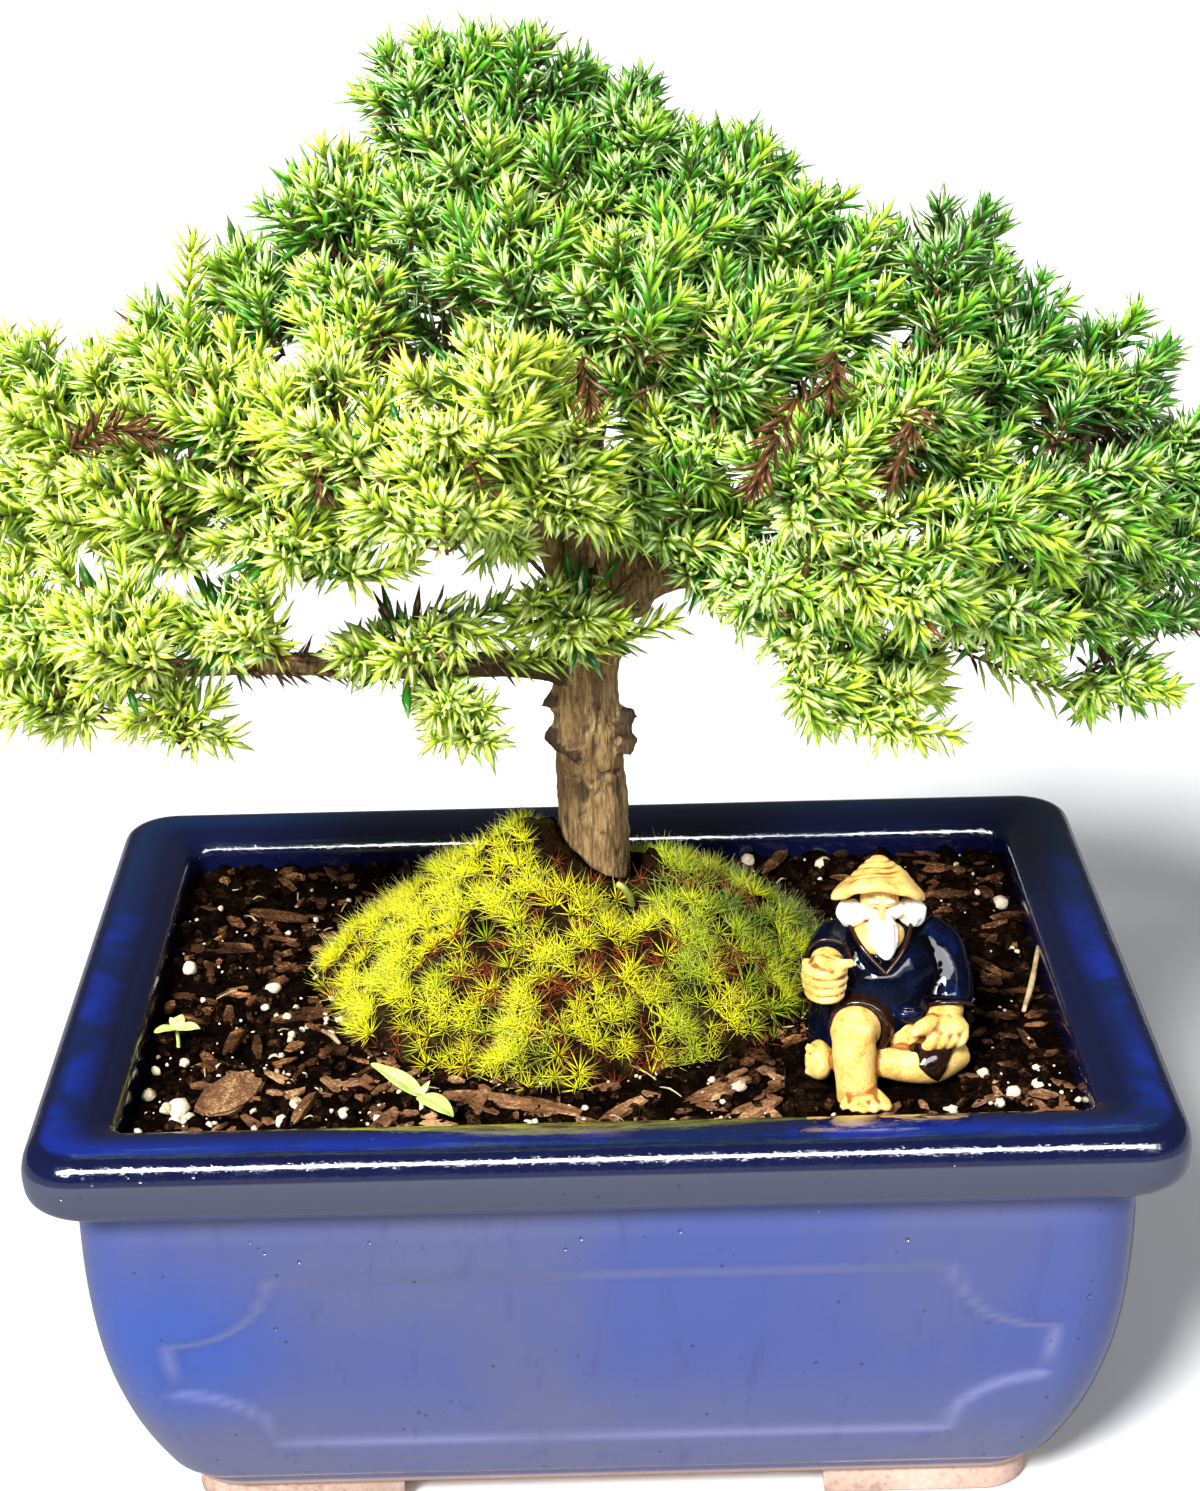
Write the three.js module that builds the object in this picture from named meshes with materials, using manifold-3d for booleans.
// A juniper bonsai in a rectangular glazed pot: the tree with its needle sprays,
// the moss and soil it stands in, a small clay figure of a seated elder and two
// weed seedlings. Millimetres, +Z up, +Y to the back. The origin is on the
// ground under the middle of the pot.
import * as THREE from 'three';
import { mergeVertices } from 'three/addons/utils/BufferGeometryUtils.js';
import Module from 'manifold-3d';

const wasm = await Module();
wasm.setup();

// Pot, soil and moss sizes.
const POT_LENGTH = 203;
const POT_DEPTH = 152;
const POT_CORNER = 10;
const RIM_TOP = 88;
const BASE_UNDERSIDE = 6.5;
const FLOOR_TOP = 13;
const FOOT_INSET = 23;
const FOOT_WIDTH = 10;
const FRONT_FOOT_GAP = 79;
const SIDE_FOOT_GAP = 55;
const PANEL_DEPTH = 1.2;
const PANEL_BOTTOM = 20.5;
const PANEL_TOP = 59;
const FRONT_PANEL_HALF = 79;
const SIDE_PANEL_HALF = 55;
const DRAIN_HOLE = 14;
const DRAIN_SPACING = 90;
const SOIL_TOP = 79;
const MOSS_HEIGHT = 29;
const GAP = 0.3;

// Tree sizes.
const NEEDLE_LENGTH = 7.6;
const TWIG_RADIUS = 0.85;
const WHORL_SPACING = 5;
const HALF_SPAN = 124;
const TRUNK_SINK = 13;

// Each limb is a run of points: x, y, z and the radius there.
const LIMBS = {
  trunk: [
    [0.5, 12, 79, 8.0], [0.5, 12, 105, 7.6], [-1.5, 12, 125, 7.3],
    [-2, 12, 140, 7.0], [-1, 12, 150, 7.2], [0, 12, 158, 6.4], [-0.5, 12.6, 166, 4.9],
  ],
  leader: [
    [-0.4, 12.4, 160, 5.0], [-1.5, 14.5, 178, 3.9], [-5, 17, 200, 3.0],
    [-9, 17, 222, 2.3], [-12, 15, 233, 1.6], [-13.5, 14, 239, 1.2],
  ],
  left_fork: [
    [-1.5, 12, 156, 4.2], [-11, 9, 178, 3.5], [-26, 3, 200, 2.8],
    [-38, 0, 212, 2.1], [-46, 2, 219, 1.5],
  ],
  left_arm: [
    [-9, 9.7, 173, 3.0], [-28, 0, 184, 2.7], [-50, -8, 189, 2.4],
    [-72, -8, 190, 2.0], [-88, -2, 188, 1.4],
  ],
  left_low: [
    [-1, 11, 141, 3.0], [-12, 5, 146.5, 2.7], [-36, -6, 150.5, 2.4],
    [-60, -13, 154.5, 2.1], [-84, -20, 156, 1.6], [-97, -23, 157, 1.2],
  ],
  right_low: [
    [2, 12, 156, 4.4], [16, 12, 162, 3.6], [40, 9, 159, 3.0],
    [66, 5, 155, 2.4], [90, 2, 152, 1.8], [104, 3, 151, 1.2],
  ],
  right_up: [
    [1.5, 12.3, 161, 3.8], [14, 10, 180, 3.1], [32, 4, 193, 2.7],
    [54, 0, 200, 2.2], [76, -2, 197, 1.8], [93, 0, 190, 1.3],
  ],
  right_front: [[30, 4.6, 192, 2.2], [40, -10, 187, 1.9], [50, -20, 182, 1.4]],
  crown_right: [[-5, 17, 200, 2.4], [6, 11, 209, 2.0], [19, 4, 216, 1.5]],
  crown_left: [[-8.6, 17, 219, 2.0], [-20, 6, 226, 1.4]],
  front: [[-9.6, 9.5, 175, 2.7], [-14, -8, 186, 2.2], [-20, -25, 194, 1.6]],
  back: [[-1.2, 14, 175, 2.9], [2, 30, 190, 2.2], [6, 42, 199, 1.5]],
  back_left: [[-2, 13, 164, 3.0], [-24, 28, 170, 2.3], [-50, 38, 171, 1.6]],
  back_right: [[2.5, 13, 163, 3.0], [26, 28, 170, 2.3], [60, 36, 174, 1.6]],
};

// Each spray of needles: the limb it leaves, its middle and its reach.
const SPRAYS = {
  crown_left: ['leader', -30, 10, 250, 14],
  crown_top: ['leader', -12, 15, 250, 13],
  crown_right: ['leader', 0, 20, 246, 14],
  crown_front: ['crown_left', -19, 0, 240, 14],
  upper_left: ['left_fork', -44, 2, 233, 15],
  upper_left_out: ['left_fork', -59, 8, 218, 15],
  upper_left_low: ['left_fork', -42, -10, 217, 15],
  upper_front: ['crown_left', -13, -17, 227, 17],
  top_right: ['crown_right', 25, 6, 233, 18],
  top_front: ['crown_right', 8, -25, 222, 16],
  mid_front: ['crown_right', 27, -25, 214, 16],
  shoulder: ['right_up', 44, -4, 216, 17],
  right_top: ['right_up', 66, 8, 218, 16],
  right_top_out: ['right_up', 76, -2, 206, 15],
  right_mid: ['right_up', 56, -24, 202, 16],
  right_far_top: ['right_up', 94, 5, 196, 16],
  right_tip: ['right_up', 108, 6, 182, 15],
  right_far: ['right_up', 92, -11, 178, 16],
  right_inner: ['right_front', 39, -34, 196, 16],
  right_centre: ['right_front', 70, -27, 184, 16],
  right_low_front: ['right_front', 54, -38, 177, 15],
  right_low: ['right_low', 38, -26, 168, 16],
  right_low_mid: ['right_low', 72, -21, 165, 16],
  right_low_far: ['right_low', 93, -5, 160, 14],
  right_end: ['right_low', 113, 3, 155, 12],
  right_hang: ['right_low', 96, -3, 143, 9],
  heart: ['right_low', 22, -10, 175, 14],
  heart_up: ['right_up', 15, -15, 197, 15],
  front_high: ['front', -16, -43, 211, 16],
  front_low: ['front', -29, -46, 197, 16],
  front_side: ['front', -5, -36, 195, 14],
  front_left: ['front', -45, -33, 204, 17],
  left_mid: ['left_arm', -64, -22, 203, 16],
  left_top: ['left_arm', -74, 5, 206, 15],
  left_tip: ['left_arm', -102, 10, 198, 16],
  left_low: ['left_arm', -80, -22, 189, 15],
  left_out: ['left_arm', -100, -9, 183, 16],
  left_under: ['left_arm', -54, -27, 184, 14],
  low_left: ['left_low', -82, -34, 168, 16],
  low_left_out: ['left_low', -101, -24, 166, 16],
  low_left_in: ['left_low', -65, -28, 168, 13],
  low_mid: ['left_low', -34, -14, 157, 12],
  low_front: ['left_low', -3, -8, 161, 13],
  back_left: ['back_left', -58, 44, 178, 17],
  back_left_up: ['back', -27, 50, 204, 17],
  back_mid: ['back', 8, 52, 214, 17],
  back_right_up: ['back', 42, 48, 210, 17],
  back_right: ['back_right', 72, 46, 184, 17],
  back_far_left: ['back_left', -88, 30, 170, 15],
  back_far_right: ['back_right', 96, 32, 172, 15],
};

// Colours as sRGB.
const COLOURS = {
  glaze: 0x3c4a9c,
  soil: 0x3a2a20,
  mesh: 0x1d1f21,
  moss: 0x7f8f2c,
  bark: 0x8a7357,
  needles: 0x6f9a4b,
  clay: 0xc99a5e,
  seedling: 0xa9cf6a,
};

const vec = (x, y, z) => new THREE.Vector3(x, y, z);
const clamp = THREE.MathUtils.clamp;
const smooth = (x, low, high) => THREE.MathUtils.smoothstep(x, low, high);

// Seeded random numbers, so the same tree grows every time.
function randomStream(seed) {
  let state = seed | 0;
  return (low = 0, high = 1) => {
    state = (state + 0x6d2b79f5) | 0;
    let t = Math.imul(state ^ (state >>> 15), 1 | state);
    t = (t + Math.imul(t ^ (t >>> 7), 61 | t)) ^ t;
    return low + ((high - low) * ((t ^ (t >>> 14)) >>> 0)) / 4294967296;
  };
}

// Solids: from raw points and triangles, from a three.js geometry, and back.
function solid(points, triangles) {
  const vertProperties = new Float32Array(points.flatMap((p) => [p.x, p.y, p.z]));
  const triVerts = new Uint32Array(triangles.flat());
  return new wasm.Manifold(new wasm.Mesh({ numProp: 3, vertProperties, triVerts }));
}

function solidOf(geometry) {
  const bare = geometry.clone();
  bare.deleteAttribute('normal');
  bare.deleteAttribute('uv');
  const merged = mergeVertices(bare, 1e-4);
  return new wasm.Manifold(new wasm.Mesh({
    numProp: 3,
    vertProperties: merged.attributes.position.array,
    triVerts: new Uint32Array(merged.index.array),
  }));
}

function geometryOf(shape) {
  const mesh = shape.getMesh();
  const geometry = new THREE.BufferGeometry();
  geometry.setAttribute('position', new THREE.BufferAttribute(mesh.vertProperties, 3));
  geometry.setIndex(new THREE.BufferAttribute(mesh.triVerts, 1));
  geometry.computeVertexNormals();
  return geometry;
}

const unite = (shapes) => shapes.reduce((all, next) => all.add(next));

// Sides between rings of equal length, and a fan over each end.
function loftShell(rings) {
  const count = rings[0].length;
  const triangles = [];
  for (let k = 0; k + 1 < rings.length; k += 1) {
    for (let i = 0; i < count; i += 1) {
      const j = (i + 1) % count;
      const [a, b] = [k * count, (k + 1) * count];
      triangles.push([a + i, a + j, b + j], [a + i, b + j, b + i]);
    }
  }
  const last = (rings.length - 1) * count;
  for (let i = 1; i + 1 < count; i += 1) {
    triangles.push([0, i + 1, i], [last, last + i, last + i + 1]);
  }
  return { points: rings.flat(), triangles };
}

function loft(rings) {
  const { points, triangles } = loftShell(rings);
  return solid(points, triangles);
}

// The rings of a round bar along points of [x, y, z, radius].
function barRings(run, sides, steps, profile = () => 1) {
  const curve = new THREE.CatmullRomCurve3(run.map(([x, y, z]) => vec(x, y, z)));
  curve.curveType = 'centripetal';
  const frames = curve.computeFrenetFrames(steps, false);
  const rings = [];
  for (let k = 0; k <= steps; k += 1) {
    const at = curve.getPointAt(k / steps);
    const [t, spot] = [curve.getUtoTmapping(k / steps) * (run.length - 1), []];
    const knot = Math.min(Math.floor(t), run.length - 2);
    const radius = THREE.MathUtils.lerp(run[knot][3], run[knot + 1][3], t - knot);
    for (let i = 0; i < sides; i += 1) {
      const angle = (2 * Math.PI * i) / sides;
      const reach = radius * profile(angle, k / steps);
      spot.push(at.clone()
        .addScaledVector(frames.normals[k], reach * Math.cos(angle))
        .addScaledVector(frames.binormals[k], reach * Math.sin(angle)));
    }
    rings.push(spot);
  }
  return rings;
}

const bar = (...shape) => loft(barRings(...shape));

// Three points round a twig, turned to lie between the three points before them.
function nextRing(points, previous, centre, axis, radius) {
  const base = previous.map((i) => points[i]);
  const start = base.reduce((sum, p) => sum.add(p), vec(0, 0, 0)).divideScalar(3);
  const side = new THREE.Vector3().crossVectors(axis, vec(0.31, 0.95, 0.12)).normalize();
  const up = new THREE.Vector3().crossVectors(axis, side).normalize();
  let [c, s] = [0, 0];
  base.forEach((p, i) => {
    const mid = p.clone().add(base[(i + 1) % 3]).multiplyScalar(0.5).sub(start);
    const angle = Math.atan2(mid.dot(up), mid.dot(side)) - (i * 2 * Math.PI) / 3;
    c += Math.cos(angle);
    s += Math.sin(angle);
  });
  const first = Math.atan2(s, c);
  return [0, 1, 2].map((i) => {
    const angle = first + (i * 2 * Math.PI) / 3;
    const p = centre.clone().addScaledVector(side, radius * Math.cos(angle));
    return points.push(p.addScaledVector(up, radius * Math.sin(angle))) - 1;
  });
}

const middleOf = (points, corners) => (
  corners.reduce((sum, i) => sum.add(points[i]), vec(0, 0, 0)).divideScalar(corners.length));

function normalOf(points, [a, b, c]) {
  const side = points[b].clone().sub(points[a]);
  return side.cross(points[c].clone().sub(points[a])).normalize();
}

function box(x0, x1, y0, y1, z0, z1) {
  const geometry = new THREE.BoxGeometry(x1 - x0, y1 - y0, z1 - z0);
  return solidOf(geometry.translate((x0 + x1) / 2, (y0 + y1) / 2, (z0 + z1) / 2));
}

// An ellipsoid, turned by the three angles in degrees.
function egg(x, y, z, rx, ry, rz, across = 8, up = 6, turn = [0, 0, 0]) {
  const geometry = new THREE.SphereGeometry(1, across, up);
  geometry.rotateX(Math.PI / 2).scale(rx, ry, rz);
  const [ax, ay, az] = turn.map(THREE.MathUtils.degToRad);
  return solidOf(geometry.rotateX(ax).rotateY(ay).rotateZ(az).translate(x, y, z));
}

// A rounded rectangle as a ring of points, seen anticlockwise from above.
function roundedRing(inset, corner, z, perCorner = 3) {
  const [halfX, halfY] = [POT_LENGTH / 2 - inset, POT_DEPTH / 2 - inset];
  const ring = [];
  const corners = [[1, -1, -90], [1, 1, 0], [-1, 1, 90], [-1, -1, 180]];
  for (const [sx, sy, start] of corners) {
    for (let i = 0; i <= perCorner; i += 1) {
      const angle = THREE.MathUtils.degToRad(start + (90 * i) / perCorner);
      const x = sx * (halfX - corner) + corner * Math.cos(angle);
      ring.push(vec(x, sy * (halfY - corner) + corner * Math.sin(angle), z));
    }
  }
  return ring;
}

// How far the body wall stands in from the rim at a height.
function bodyInset(z) {
  return 7.3 + 13.2 * clamp((68 - z) / 62, 0, 1) ** 2.6;
}

const OUTER_HEIGHTS = [13, 20.5, 30, 41, 54, 67];
const innerInset = (z) => (z > 68 ? THREE.MathUtils.lerp(16.6, 15.5, (z - 68) / 17.4)
  : bodyInset(z) + 9.1);

// The pot: a lofted shell with a heavy rolled rim.
function makePot() {
  const outer = [[21.5, 11, BASE_UNDERSIDE], [20.6, 11, 9.2], [18.6, 12, 10.4]];
  for (const z of OUTER_HEIGHTS) outer.push([bodyInset(z), 12, z]);
  outer.push([8.4, 11.5, 71.5], [7.8, 11, 74.2], [4.5, 11, 74.6], [2.2, 10.5, 75.6]);
  outer.push([0.6, POT_CORNER, 77.5], [0, POT_CORNER, 80], [0, POT_CORNER, 83]);
  outer.push([0.6, 9.6, 85.5], [2, 8.6, 87.3], [5, 6, RIM_TOP]);
  const inner = [[14.4, 4.2, 86], [15.5, 4, 85], [16.6, 4, 68], [17.8, 4, 54]];
  inner.push([innerInset(30), 6, 30], [innerInset(20.5), 8, 20.5], [26, 8, FLOOR_TOP]);
  const rings = [...outer, ...inner].map(([inset, corner, z]) => roundedRing(inset, corner, z));
  let pot = loft(rings);

  const feet = loft([roundedRing(FOOT_INSET, 9, 0), roundedRing(FOOT_INSET - 0.4, 9.4, 7)]);
  const well = FOOT_INSET + FOOT_WIDTH;
  const hollow = loft([roundedRing(well, 4, -1), roundedRing(well, 4, 8)]);
  const acrossGap = box(-FRONT_FOOT_GAP / 2, FRONT_FOOT_GAP / 2, -90, 90, -1, BASE_UNDERSIDE);
  const alongGap = box(-110, 110, -SIDE_FOOT_GAP / 2, SIDE_FOOT_GAP / 2, -1, BASE_UNDERSIDE);
  pot = pot.add(feet.subtract(hollow).subtract(acrossGap).subtract(alongGap));

  const levels = [9.2, ...OUTER_HEIGHTS];
  const core = loft(levels.map((z) => roundedRing(bodyInset(z) + PANEL_DEPTH, 11, z)));
  for (const [half, scoop, turn] of [
    [FRONT_PANEL_HALF, 18, 0], [SIDE_PANEL_HALF, 13, 90],
    [FRONT_PANEL_HALF, 18, 180], [SIDE_PANEL_HALF, 13, 270],
  ]) {
    pot = pot.subtract(panelCutter(half, scoop, turn).subtract(core));
  }
  for (const side of [-1, 1]) {
    const hole = new THREE.CylinderGeometry(DRAIN_HOLE / 2, DRAIN_HOLE / 2, 20, 12);
    hole.rotateX(Math.PI / 2).translate((side * DRAIN_SPACING) / 2, 0, 10);
    pot = pot.subtract(solidOf(hole));
  }
  return pot;
}

// A block with the outline of a wall panel, whose corners are scooped out.
function panelCutter(half, scoop, turn) {
  const middle = (PANEL_BOTTOM + PANEL_TOP) / 2;
  const [tall, rise] = [(PANEL_TOP - PANEL_BOTTOM) / 2, 13.5];
  const outline = new THREE.Shape();
  const corners = [[1, -1], [1, 1], [-1, 1], [-1, -1]];
  corners.forEach(([sx, sz], corner) => {
    for (let i = 0; i <= 3; i += 1) {
      const angle = (Math.PI / 2) * (sx * sz > 0 ? 1 - i / 3 : i / 3);
      const x = sx * (half - scoop * Math.cos(angle));
      const z = middle + sz * (tall - rise * Math.sin(angle));
      if (corner + i === 0) outline.moveTo(x, z);
      else outline.lineTo(x, z);
    }
  });
  const block = new THREE.ExtrudeGeometry(outline, { depth: 60, bevelEnabled: false });
  const stand = turn % 180 ? 70 : 45;
  block.rotateX(Math.PI / 2).translate(0, -stand, 0);
  return solidOf(block.rotateZ(THREE.MathUtils.degToRad(turn)));
}

// A square of plastic drainage mesh over a drain hole.
function makeDrainMesh(side) {
  const [x, half, cells] = [(side * DRAIN_SPACING) / 2, 11, 2];
  const pitch = (2 * half - 1.6) / cells;
  let plate = box(x - half, x + half, -half, half, FLOOR_TOP, FLOOR_TOP + 1);
  for (let i = 0; i < cells; i += 1) {
    for (let j = 0; j < cells; j += 1) {
      const [x0, y0] = [x - half + 1.6 + i * pitch, -half + 1.6 + j * pitch];
      const cell = box(x0, x0 + pitch - 1.6, y0, y0 + pitch - 1.6, FLOOR_TOP - 1, FLOOR_TOP + 2);
      plate = plate.subtract(cell);
    }
  }
  return plate;
}

// The moss mound: its outline, and its height over the soil.
const MOSS = { x: -5, y: 6, hole: 9.2 };
function mossReach(angle) {
  const [c, s] = [Math.cos(angle), Math.sin(angle)];
  const plain = 1 / Math.hypot(c / (c > 0 ? 50 : 51), s / (s > 0 ? 32 : 40));
  return plain * (1 + 0.05 * Math.sin(3 * angle + 0.6) + 0.03 * Math.sin(7 * angle));
}

function mossHeight(x, y) {
  const angle = Math.atan2(y - MOSS.y, x - MOSS.x);
  const out = Math.hypot(x - MOSS.x, y - MOSS.y) / mossReach(angle);
  const dome = MOSS_HEIGHT * (1 - clamp(out, 0, 1) ** 1.9) ** 0.85;
  const hump = 6 * Math.exp(-(((x + 14) / 11) ** 2) - ((y - 12) / 10) ** 2);
  const crater = 6 * Math.exp(-(((x - 5) / 8) ** 2) - ((y + 2) / 7) ** 2);
  const lumps = 1.1 * Math.sin(0.31 * x + 1) * Math.cos(0.27 * y) * (1 - out);
  return Math.max(dome + hump - crater + lumps, 0);
}

// A ring of mound round the trunk, with a tuft raised on every face of its top.
function makeMoss() {
  const [around, out] = [20, 6];
  const random = randomStream(41);
  const points = [];
  for (let i = 0; i < around; i += 1) {
    const angle = (2 * Math.PI * i) / around;
    const [c, s] = [Math.cos(angle), Math.sin(angle)];
    const inner = [0.5 + MOSS.hole * c, 12 + MOSS.hole * s];
    const edge = [MOSS.x + mossReach(angle) * c, MOSS.y + mossReach(angle) * s];
    points.push(vec(inner[0], inner[1], SOIL_TOP), vec(edge[0], edge[1], SOIL_TOP));
    for (let k = out - 1; k >= 0; k -= 1) {
      const part = k / out + (k && random(-0.04, 0.04));
      const x = THREE.MathUtils.lerp(inner[0], edge[0], part);
      const y = THREE.MathUtils.lerp(inner[1], edge[1], part);
      points.push(vec(x, y, SOIL_TOP + Math.max(mossHeight(x, y), 1.2)));
    }
  }
  const count = out + 2;
  const triangles = [];
  for (let i = 0; i < around; i += 1) {
    const next = ((i + 1) % around) * count;
    for (let k = 0; k < count; k += 1) {
      const [a, b] = [i * count + k, i * count + ((k + 1) % count)];
      const [c, d] = [next + ((k + 1) % count), next + k];
      const halves = (i + k) % 2 ? [[a, b, c], [a, c, d]] : [[a, b, d], [b, c, d]];
      const top = k > 0 && k < count - 1;
      for (const face of halves) {
        const turned = [face[0], face[2], face[1]];
        if (top) triangles.push(...raised(points, turned, random));
        else triangles.push(turned);
      }
    }
  }
  return solid(points, triangles);
}

// A face with a leaning point raised on it.
function raised(points, [a, b, c], random) {
  const middle = points[a].clone().add(points[b]).add(points[c]).divideScalar(3);
  const side = points[b].clone().sub(points[a]);
  const normal = side.cross(points[c].clone().sub(points[a])).normalize();
  const lean = vec(random(-0.25, 0.25), random(-0.25, 0.25), 0.35);
  middle.addScaledVector(normal.add(lean).normalize(), random(3.2, 4.8));
  points.push(middle);
  const tip = points.length - 1;
  return [[a, b, tip], [b, c, tip], [c, a, tip]];
}

// Flat spots in the soil, where things stand: x, y, and half sizes.
const FIGURE = [51, -34, 17, 14.5];
const SEEDLINGS = [[-33.4, -43.3], [-80.5, -17]];
function bareSoil(x, y) {
  const angle = Math.atan2(y - MOSS.y, x - MOSS.x);
  const moss = Math.hypot(x - MOSS.x, y - MOSS.y) - mossReach(angle);
  const figure = Math.max(Math.abs(x - FIGURE[0]) - FIGURE[2], Math.abs(y - FIGURE[1]) - FIGURE[3]);
  const weeds = SEEDLINGS.map(([sx, sy]) => Math.hypot(x - sx, y - sy) - 2);
  return Math.min(moss, figure, ...weeds.map((w) => w - 3));
}

function soilHeight(x, y) {
  const bumps = 0.9 * Math.sin(0.43 * x + 0.8) * Math.cos(0.39 * y + 0.3)
    + 0.7 * Math.sin(0.9 * x - 0.77 * y) + 0.5 * Math.sin(1.3 * y + 0.5 * x);
  const bank = 1.6 * smooth(Math.max(Math.abs(x) / 86, Math.abs(y) / 60), 0.8, 1);
  const rise = bumps + bank;
  const start = rise > 0 ? 15 : 8;
  return SOIL_TOP + rise * smooth(bareSoil(x, y), start, start + 8);
}

// The soil fills the pot, with bark chips and pale grains standing out of it.
function makeSoil(trunkHole) {
  const random = randomStream(7);
  const [nx, ny, halfX, halfY] = [16, 12, 90, 64];
  const points = [];
  for (let j = 0; j <= ny; j += 1) {
    for (let i = 0; i <= nx; i += 1) {
      const inside = i > 0 && j > 0 && i < nx && j < ny;
      const x = -halfX + (2 * halfX * (i + (inside ? random(-0.25, 0.25) : 0))) / nx;
      const y = -halfY + (2 * halfY * (j + (inside ? random(-0.25, 0.25) : 0))) / ny;
      points.push(vec(x, y, soilHeight(x, y)));
    }
  }
  const triangles = [];
  const rim = [];
  for (let j = 0; j < ny; j += 1) {
    for (let i = 0; i < nx; i += 1) {
      const a = j * (nx + 1) + i;
      const [b, c, d] = [a + 1, a + nx + 2, a + nx + 1];
      triangles.push([a, b, c], [a, c, d]);
    }
  }
  for (let i = 0; i < nx; i += 1) rim.push(i);
  for (let j = 0; j < ny; j += 1) rim.push(j * (nx + 1) + nx);
  for (let i = nx; i > 0; i -= 1) rim.push(ny * (nx + 1) + i);
  for (let j = ny; j > 0; j -= 1) rim.push(j * (nx + 1));
  const centre = points.push(vec(0, 0, 0)) - 1;
  rim.forEach((a, i) => {
    const b = rim[(i + 1) % rim.length];
    points[a + 0].low = points[a].low ?? points.push(vec(points[a].x, points[a].y, 0)) - 1;
    points[b].low = points[b].low ?? points.push(vec(points[b].x, points[b].y, 0)) - 1;
    const [la, lb] = [points[a].low, points[b].low];
    triangles.push([b, a, la], [b, la, lb], [lb, la, centre]);
  });
  const levels = [[26, 8, FLOOR_TOP], [innerInset(20.5), 8, 20.5], [innerInset(30), 6, 30]];
  levels.push([17.8, 4, 54], [16.6, 4, 68], [15.5, 4, 85]);
  const cavity = loft(levels.map(([inset, corner, z]) => roundedRing(inset + GAP, corner, z)));
  let soil = solid(points, triangles);

  let chips = 0;
  while (chips < 16) {
    const [x, y] = [random(-80, 80), random(-54, 54)];
    const [long, wide] = [random(3.5, 6.5), random(1.2, 2)];
    if (bareSoil(x, y) < long + 1.5 || Math.abs(x) + long > 82 || Math.abs(y) + long > 56) continue;
    const grain = chips % 3 === 0;
    const chip = grain ? new THREE.OctahedronGeometry(random(1.8, 2.5))
      : new THREE.CylinderGeometry(wide * 0.8, wide, 2 * long, 4).scale(1, 1, 0.8);
    chip.rotateX(random(-0.12, 0.12)).rotateZ(random(0, Math.PI));
    soil = soil.add(solidOf(chip.translate(x, y, soilHeight(x, y) - 0.4)));
    chips += 1;
  }
  soil = soil.intersect(cavity).subtract(trunkHole);
  for (const side of [-1, 1]) {
    const [x, half] = [(side * DRAIN_SPACING) / 2, 11 + GAP];
    const pocket = box(x - half, x + half, -half, half, FLOOR_TOP - 1, FLOOR_TOP + 1 + GAP);
    soil = soil.subtract(pocket);
  }
  return soil;
}

// Points along a limb, and the branch stubs that carry the sprays.
const limbSteps = (run) => Math.max(run.length, 4);
function sampleLimb(run, count = 40) {
  const curve = new THREE.CatmullRomCurve3(run.map(([x, y, z]) => vec(x, y, z)));
  curve.curveType = 'centripetal';
  const samples = [];
  for (let k = 0; k <= count; k += 1) {
    const t = curve.getUtoTmapping(k / count) * (run.length - 1);
    const knot = Math.min(Math.floor(t), run.length - 2);
    const radius = THREE.MathUtils.lerp(run[knot][3], run[knot + 1][3], t - knot);
    samples.push({ at: curve.getPointAt(k / count), radius });
  }
  return { samples, length: curve.getLength() };
}

function makeSkeleton() {
  const capsules = [];
  const sprays = {};
  const limbs = {};
  for (const [limb, run] of Object.entries(LIMBS)) {
    const trunk = limb === 'trunk';
    const { samples, length } = sampleLimb(run, trunk ? 16 : limbSteps(run));
    for (let k = 0; k + 1 < samples.length; k += 1) {
      const radius = Math.max(samples[k].radius, samples[k + 1].radius) * (trunk ? 1.12 : 1);
      capsules.push({ a: samples[k].at, b: samples[k + 1].at, radius });
    }
    if (trunk) continue;
    const shell = loftShell(barRings(run, 5, limbSteps(run)));
    const sides = shell.triangles.slice(0, 10 * limbSteps(run));
    limbs[limb] = { shell, sides, length };
  }
  for (const [name, [limb, x, y, z, reach]] of Object.entries(SPRAYS)) {
    const middle = vec(x, y, z);
    const { shell, sides, length } = limbs[limb];
    const { samples } = sampleLimb(LIMBS[limb]);
    const far = samples.map((s) => s.at.distanceTo(middle));
    const nearest = far.indexOf(Math.min(...far));
    const back = Math.round((0.3 * far[nearest] * samples.length) / length);
    const spot = samples[clamp(nearest - back, Math.min(4, nearest), samples.length - 2)];
    const cost = (face) => {
      const root = middleOf(shell.points, face);
      const outward = normalOf(shell.points, face).dot(middle.clone().sub(root).normalize());
      return root.distanceTo(spot.at) / 7 - 1.6 * Math.min(outward, 0.9);
    };
    const face = sides.reduce((best, next) => (cost(next) < cost(best) ? next : best));
    sides.splice(sides.indexOf(face), 1);
    const root = middleOf(shell.points, face);
    const direction = middle.clone().sub(root);
    let long = Math.max(direction.length() - 0.85 * reach, 3.2);
    direction.normalize();
    const along = (distance) => root.clone().addScaledVector(direction, distance);
    const blocked = () => capsules.some((w) => (
      runDistance(along(long), along(long + 5), w.a, w.b) < w.radius + TWIG_RADIUS + 0.4));
    while (blocked() && long < 12) long += 0.8;
    const end = along(long);
    raiseStub(shell, face, root, end, direction, Math.min(1.25, spot.radius * 0.8));
    capsules.push({ a: root, b: end, radius: 1.25 });
    sprays[name] = { middle, reach, direction, start: end.clone().addScaledVector(direction, GAP) };
  }
  return { capsules, sprays, limbs };
}

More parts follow.
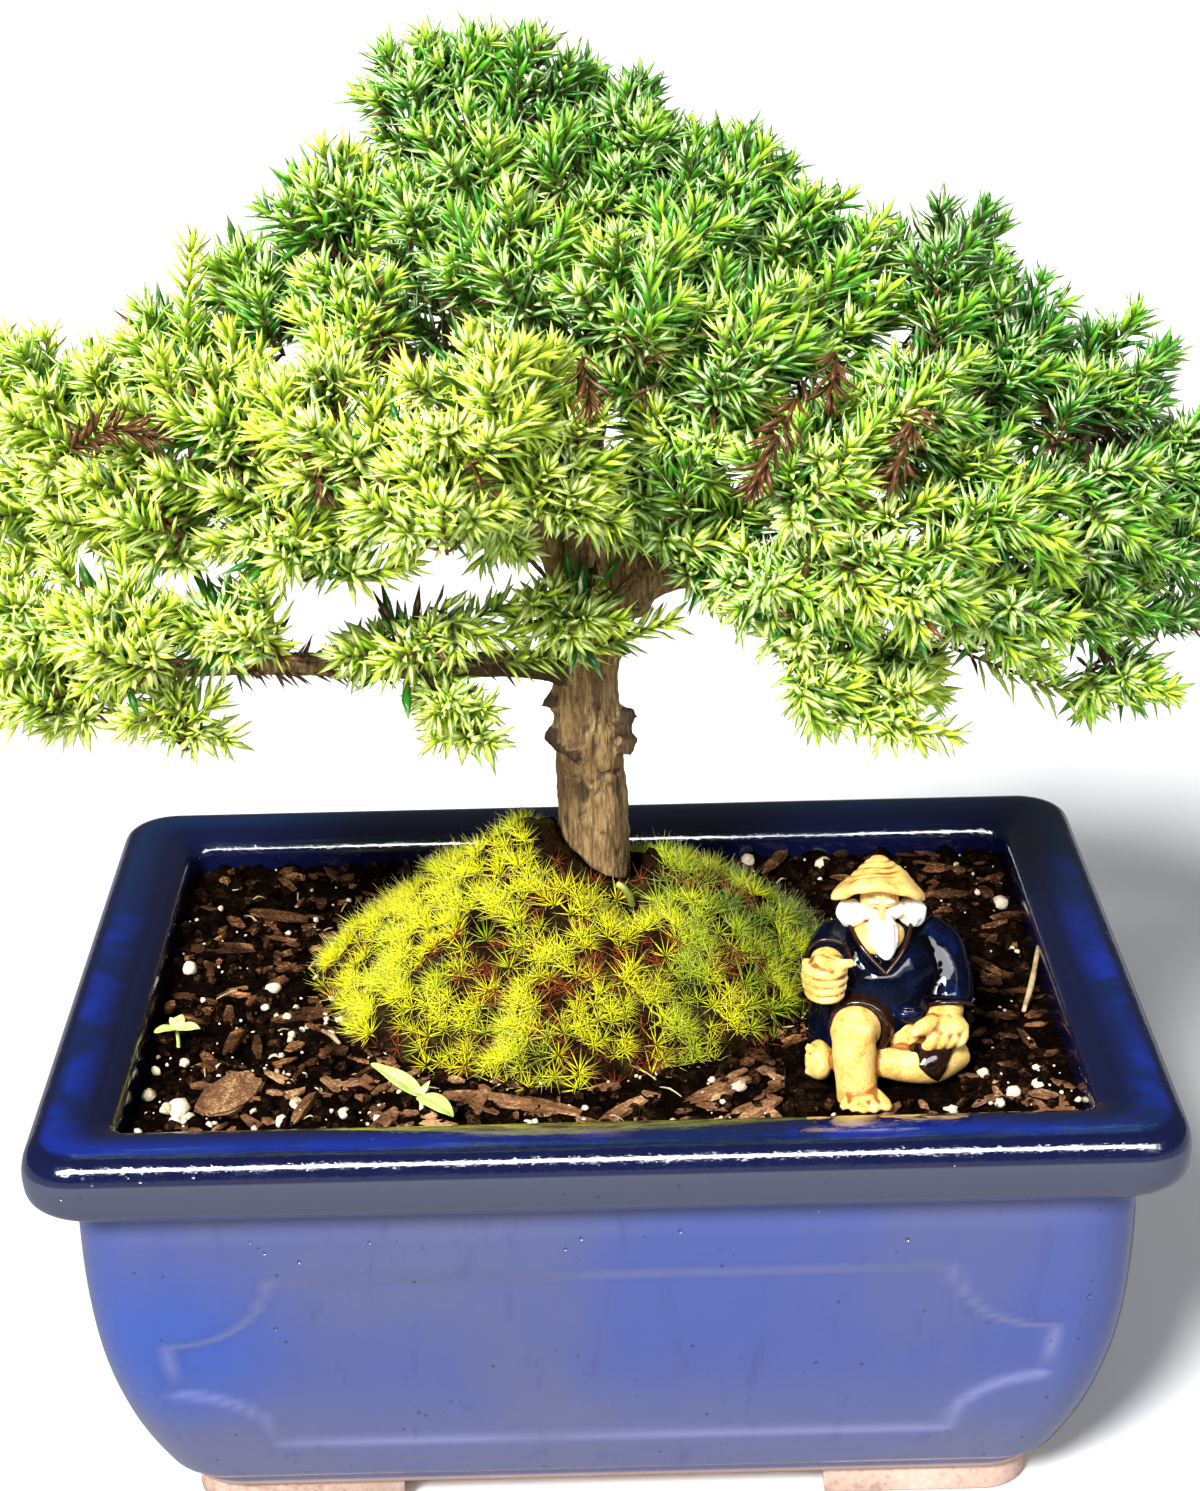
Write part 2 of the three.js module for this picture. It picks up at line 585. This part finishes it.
// Draws a face of a limb out into a three-sided stub with a collar at its root.
function raiseStub(shell, face, root, end, direction, width) {
  const { points, triangles } = shell;
  triangles.splice(triangles.indexOf(face), 1);
  const collar = root.clone().addScaledVector(direction, Math.min(1.6, 0.5 * root.distanceTo(end)));
  let previous = face;
  for (const [centre, radius] of [[collar, width], [end, 0.95]]) {
    const next = nextRing(points, previous, centre, direction, radius);
    for (let i = 0; i < 3; i += 1) {
      const j = (i + 1) % 3;
      triangles.push([previous[i], previous[j], next[i]], [previous[j], next[j], next[i]]);
    }
    previous = next;
  }
  triangles.push(previous);
}

// The wood: trunk with bark ridges and snags, limbs, and stubs to every spray.
function makeWood(limbs) {
  const foot = LIMBS.trunk[0];
  const trunkRun = [[foot[0], foot[1], SOIL_TOP - TRUNK_SINK, 7.4], ...LIMBS.trunk];
  const ridges = (angle, along) => {
    const rise = smooth(along, 0.14, 0.22);
    const turn = angle + 1.1 * along;
    return 1 + rise * (0.06 * Math.sin(5 * turn) + 0.035 * Math.sin(9 * turn + 8 * along));
  };
  const shapes = [bar(trunkRun, 11, 12, ridges)];
  for (const { shell } of Object.values(limbs)) shapes.push(solid(shell.points, shell.triangles));
  const random = randomStream(23);
  const snags = [[-8, 10, 129], [-8.5, 9, 137], [-9, 11, 144], [6, 9, 127], [6, 10, 134]];
  snags.push([6, 11, 146]);
  for (const [x, y, z] of snags) {
    const out = vec(x + 1.5, y - 12, 0).normalize();
    const tip = [x + 2.6 * out.x, y + 2.6 * out.y, z + random(-1.5, 1.5), 0.6];
    shapes.push(bar([[x - 3 * out.x, y - 3 * out.y, z, random(1.6, 2.3)], tip], 4, 1));
  }
  shapes.push(egg(7.5, 11, 157.5, 4.4, 4.6, 3.8, 6, 4));
  shapes.push(egg(-5, 8.5, 152, 3.6, 3.6, 4.2, 6, 4));
  return unite(shapes);
}

// The shortest distance between two straight runs.
function runDistance(a, b, c, d) {
  const [u, v, w] = [b.clone().sub(a), d.clone().sub(c), a.clone().sub(c)];
  const [uu, uv, vv, uw, vw] = [u.dot(u), u.dot(v), v.dot(v), u.dot(w), v.dot(w)];
  const flat = uu * vv - uv * uv;
  let s = flat > 1e-9 ? clamp((uv * vw - vv * uw) / flat, 0, 1) : 0;
  let t = vv > 1e-9 ? clamp((uv * s + vw) / vv, 0, 1) : 0;
  s = uu > 1e-9 ? clamp((uv * t - uw) / uu, 0, 1) : 0;
  t = vv > 1e-9 ? clamp((uv * s + vw) / vv, 0, 1) : 0;
  return a.clone().addScaledVector(u, s).distanceTo(c.clone().addScaledVector(v, t));
}

// A spray: slim twigs of three-sided rings, with a needle raised on their faces.
class Spray {
  constructor(name, skeleton, random) {
    this.own = skeleton.sprays[name];
    this.others = Object.values(skeleton.sprays).filter((s) => s !== this.own);
    this.capsules = skeleton.capsules;
    this.random = random;
    this.points = [];
    this.triangles = [];
    this.faces = [];
    this.cores = [];
    this.needles = [];
  }

  // Room left before a point leaves this spray's own share of space.
  room(p) {
    const { middle, reach } = this.own;
    const own = p.distanceToSquared(middle) - reach * reach;
    let least = HALF_SPAN - Math.abs(p.x);
    for (const other of this.others) {
      const apart = other.middle.distanceTo(middle);
      const theirs = p.distanceToSquared(other.middle) - other.reach * other.reach;
      least = Math.min(least, (theirs - own) / (2 * apart));
    }
    return least;
  }

  clearOfWood(a, b, margin) {
    return this.capsules.every((w) => runDistance(a, b, w.a, w.b) > w.radius + margin);
  }

  // Grows a twig from three points along a path, and notes its faces.
  grow(base, path, radii, bare) {
    let previous = base;
    for (let k = 1; k < path.length; k += 1) {
      const ahead = path[Math.min(k + 1, path.length - 1)].clone().sub(path[k - 1]).normalize();
      const next = nextRing(this.points, previous, path[k], ahead, radii[k]);
      for (let i = 0; i < 3; i += 1) {
        const j = (i + 1) % 3;
        const kind = { axis: ahead, part: k / (path.length - 1), bare: k <= bare };
        this.faces.push({ corners: [previous[i], previous[j], next[i]], ...kind });
        this.faces.push({ corners: [previous[j], next[j], next[i]], ...kind });
      }
      this.cores.push({ a: path[k - 1], b: path[k], radius: radii[k] });
      previous = next;
    }
    const axis = path.at(-1).clone().sub(path.at(-2)).normalize();
    this.faces.push({ corners: previous, axis, part: 1, tip: true });
  }

  // A path that bends towards the light and stops where the spray's room ends.
  path(start, direction, length, lift, skip) {
    const steps = Math.max(1, Math.round(length / WHORL_SPACING));
    const points = [start.clone()];
    const heading = direction.clone();
    for (let k = 1; k <= steps; k += 1) {
      heading.z += lift;
      heading.normalize();
      const next = points.at(-1).clone().addScaledVector(heading, length / steps);
      const last = points.at(-1);
      const free = this.cores.every((c, i) => i === skip
        || runDistance(last, next, c.a, c.b) > c.radius + TWIG_RADIUS + 0.5);
      if (this.room(next) < 1.6 || (k > 1 && !free)) break;
      if (!this.clearOfWood(k > 1 ? last : next, next, TWIG_RADIUS + 0.5)) break;
      points.push(next);
    }
    return points;
  }

  growStem() {
    const { start, direction, reach } = this.own;
    const side = new THREE.Vector3().crossVectors(direction, vec(0.2, 0.3, 1)).normalize();
    const up = new THREE.Vector3().crossVectors(direction, side);
    const base = [0, 1, 2].map((i) => {
      const angle = (i * 2 * Math.PI) / 3;
      const p = start.clone().addScaledVector(side, TWIG_RADIUS * Math.cos(angle));
      return this.points.push(p.addScaledVector(up, TWIG_RADIUS * Math.sin(angle))) - 1;
    });
    if (normalOf(this.points, base).dot(direction) < 0) base.reverse();
    this.triangles.push([base[0], base[2], base[1]]);
    const path = this.path(start, direction, 1.3 * reach, 0.04, -1);
    while (path.length < 3) {
      const from = path.at(-1);
      path.push(from.clone().addScaledVector(direction, 2.2));
    }
    const radii = path.map((p, k) => TWIG_RADIUS * (1 - (0.35 * k) / path.length));
    this.grow(base, path, radii, 0);
  }

  // Side twigs leave faces of the stem, each the best spread of several tries.
  growTwigs(count) {
    const stem = this.faces.filter((f) => !f.tip);
    const used = [];
    while (used.length < count) {
      let best = null;
      for (let n = 0; n < 40; n += 1) {
        const pick = Math.floor(this.random(0, stem.length));
        const level = Math.floor(pick / 6);
        const lean = this.random(0.2, 0.75);
        const face = stem[pick];
        if (used.some((other) => Math.abs(other - pick) < 4)) continue;
        const heading = normalOf(this.points, face.corners).multiplyScalar(0.85);
        heading.addScaledVector(face.axis, lean).normalize();
        const start = middleOf(this.points, face.corners);
        const path = this.path(start, heading, 0.95 * this.own.reach, 0.02, level);
        if (path.length < 3) continue;
        const tip = path.at(-1);
        const apart = Math.min(...this.cores.map((c) => runDistance(tip, tip, c.a, c.b)));
        const score = apart + 0.3 * tip.distanceTo(start);
        if (!best || score > best.score) best = { pick, face, path, score };
      }
      if (!best) return;
      const { pick, face, path } = best;
      this.faces = this.faces.filter((f) => f !== face);
      used.push(pick);
      const radii = path.map((p, k) => 0.8 * TWIG_RADIUS * (1 - (0.35 * k) / path.length));
      this.grow(face.corners, path, radii, 0);
    }
  }

  growNeedles(share) {
    for (const face of this.faces) {
      const [a, b, c] = face.corners;
      const root = middleOf(this.points, face.corners);
      const normal = normalOf(this.points, face.corners);
      const jitter = () => this.random(-0.14, 0.14);
      const heading = normal.clone().multiplyScalar(face.tip ? 1 : 0.74)
        .addScaledVector(face.axis, face.tip ? 1 : 0.68).add(vec(jitter(), jitter(), jitter()));
      const long = NEEDLE_LENGTH * this.random(0.88, 1.1) * (1 - 0.15 * face.part);
      const tip = root.clone().addScaledVector(heading.normalize(), long);
      const low = root.clone().lerp(tip, 0.3);
      const chosen = face.tip || this.random() < share;
      if (face.bare || !chosen || !this.fits(low, tip)) {
        this.triangles.push([a, b, c]);
        continue;
      }
      this.needles.push({ low, tip });
      const apex = this.points.push(tip) - 1;
      this.triangles.push([a, b, apex], [b, c, apex], [c, a, apex]);
    }
  }

  fits(low, tip) {
    if (this.room(tip) < 0.3 || !this.clearOfWood(low, tip, 0.9)) return false;
    if (!this.cores.every((c) => runDistance(low, tip, c.a, c.b) > c.radius + 0.4)) return false;
    return this.needles.every((n) => runDistance(low, tip, n.low, n.tip) > 0.7);
  }
}

function makeSpray(name, skeleton, seed) {
  const spray = new Spray(name, skeleton, randomStream(seed));
  spray.growStem();
  spray.growTwigs(spray.own.reach > 13 && !name.startsWith('back') ? 4 : 3);
  spray.growNeedles(0.74);
  return solid(spray.points, spray.triangles);
}

// The clay figure: a seated elder in a wide hat, one fired piece.
function makeFigure() {
  const hat = [[0, -0.4], [7.9, -1.9], [8.5, -1.3], [5.6, 1.2], [2.4, 4.2], [0, 5.2]];
  const brim = new THREE.LatheGeometry(hat.map(([r, z]) => new THREE.Vector2(r, z)), 10);
  brim.rotateX(Math.PI / 2).rotateX(-0.16).rotateY(0.05).translate(49, -27, 113.4);
  const shapes = [
    solidOf(brim),
    egg(50, -28.5, 109.8, 3.7, 4, 4.8, 8, 5),
    egg(44.9, -28.5, 108.2, 2.8, 3, 2.8, 6, 4),
    egg(55.2, -27.5, 108.4, 3, 3.1, 3, 6, 4),
    bar([[50, -31, 107.4, 2.6], [49.9, -34.4, 103.8, 2.2], [50.1, -35.6, 100, 0.5]], 5, 2),
    bar([[50.5, -27, 79, 12.6], [50.5, -27, 86, 12.6], [50.8, -28, 94, 12],
      [51, -27.5, 102, 10.4], [50.8, -27, 108, 4]], 9, 4),
    bar([[59, -26.5, 105, 4.2], [62.3, -30, 98.6, 4.7], [61.6, -36, 90.6, 5]], 6, 2),
    egg(60.2, -38.8, 88.6, 4.7, 3.7, 3.4, 7, 4, [0, 0, 10]),
    bar([[58.4, -40.4, 90, 1.7], [55.4, -42.2, 89, 0.8]], 3, 1),
    bar([[43, -26.5, 104, 4.2], [39.6, -35.4, 101.4, 3.5]], 6, 1),
    egg(39.8, -36.9, 99.7, 3.7, 3.6, 3.7, 7, 4),
    bar([[40.2, -38.5, 101.6, 1.5], [44.8, -39.3, 102, 0.7]], 3, 1),
    bar([[48.5, -30, 91.5, 7], [45.3, -42.4, 92, 5]], 7, 1),
    bar([[45.3, -42.4, 94.8, 4.2], [45, -43.2, 86, 3.9], [45.5, -43.8, 79, 3.2]], 7, 2),
    egg(46.2, -47, 80.4, 4, 4.4, 2.1, 7, 4),
    bar([[61, -31, 85.4, 6.4], [57.4, -40.8, 84.6, 4], [38.4, -39.2, 84, 3]], 7, 3),
    egg(37.4, -38.8, 84.6, 2.5, 3.2, 4, 6, 4, [0, -12, 0]),
    egg(54.6, -39.8, 94.2, 2.5, 2.2, 2, 6, 3),
  ];
  return unite(shapes).intersect(box(20, 80, -60, 0, SOIL_TOP, 140));
}

// A thin leaf blade along a run of [x, y, z, half width].
function blade(run, across) {
  const wide = vec(...across).normalize();
  const rings = run.map(([x, y, z, half], k) => {
    const before = run[Math.max(k - 1, 0)];
    const after = run[Math.min(k + 1, run.length - 1)];
    const along = vec(after[0] - before[0], after[1] - before[1], after[2] - before[2]);
    const up = new THREE.Vector3().crossVectors(along, wide).normalize();
    const at = vec(x, y, z);
    return [[half, 0.12], [0, 0.36], [-half, 0.12], [0, -0.36]].map(([w, h]) => (
      at.clone().addScaledVector(wide, w).addScaledVector(up, h)));
  });
  return loft(rings);
}

// Two weed seedlings: a pair of lance leaves, and a cluster of small round ones.
function makeFrontSeedling() {
  const [x, y] = SEEDLINGS[0];
  const stem = bar([[x, y, SOIL_TOP, 0.8], [x, y, SOIL_TOP + 2.6, 0.6]], 6, 1);
  const top = SOIL_TOP + 2.2;
  const right = blade([[x, y, top, 0.5], [x + 2.4, y - 1.2, top + 1, 1.5],
    [x + 4.8, y - 2.6, top + 0.9, 1.3], [x + 7, y - 4, top - 0.2, 0.2]], [1, 1.6, 0.2]);
  const left = blade([[x, y, top, 0.5], [x - 2, y + 1.4, top + 1.8, 1.4],
    [x - 4, y + 2.8, top + 3, 1.1], [x - 5.8, y + 4, top + 3.6, 0.2]], [1, 1.6, 0.2]);
  return unite([stem, right, left]);
}

function makeLeftSeedling() {
  const [x, y] = SEEDLINGS[1];
  const shapes = [bar([[x, y, SOIL_TOP, 0.7], [x, y, SOIL_TOP + 4, 0.5]], 6, 1)];
  for (const [angle, long, rise] of [[0.6, 3.6, 1.8], [2.7, 3.4, 2.4], [4.7, 3.8, 1.2]]) {
    const [c, s] = [Math.cos(angle), Math.sin(angle)];
    const run = [[0, 0.35], [0.45, 1.1], [0.8, 1.2], [1, 0.3]].map(([part, half]) => (
      [x + long * part * c, y + long * part * s, SOIL_TOP + 3.4 + rise * part, half]));
    shapes.push(blade(run, [-s, c, 0]));
  }
  return unite(shapes);
}

const group = new THREE.Group();
function place(name, shape, colour, roughness) {
  const material = new THREE.MeshStandardMaterial({ color: colour, roughness, metalness: 0 });
  const mesh = new THREE.Mesh(geometryOf(shape), material);
  mesh.name = name;
  group.add(mesh);
}

const skeleton = makeSkeleton();
const [footX, footY] = LIMBS.trunk[0];
const trunkHole = bar([[footX, footY, SOIL_TOP - TRUNK_SINK, 8.7], [footX, footY, SOIL_TOP + 3, 9.1]], 14, 1);

place('pot', makePot(), COLOURS.glaze, 0.12);
place('drain_mesh_left', makeDrainMesh(-1), COLOURS.mesh, 0.6);
place('drain_mesh_right', makeDrainMesh(1), COLOURS.mesh, 0.6);
place('soil', makeSoil(trunkHole), COLOURS.soil, 0.95);
place('moss_mound', makeMoss(), COLOURS.moss, 0.9);
place('trunk_and_branches', makeWood(skeleton.limbs), COLOURS.bark, 0.85);
place('clay_figure', makeFigure(), COLOURS.clay, 0.5);
place('seedling_front', makeFrontSeedling(), COLOURS.seedling, 0.5);
place('seedling_left', makeLeftSeedling(), COLOURS.seedling, 0.5);
Object.keys(SPRAYS).forEach((name, i) => {
  place(`spray_${name}`, makeSpray(name, skeleton, 101 + 17 * i), COLOURS.needles, 0.6);
});

export default group;
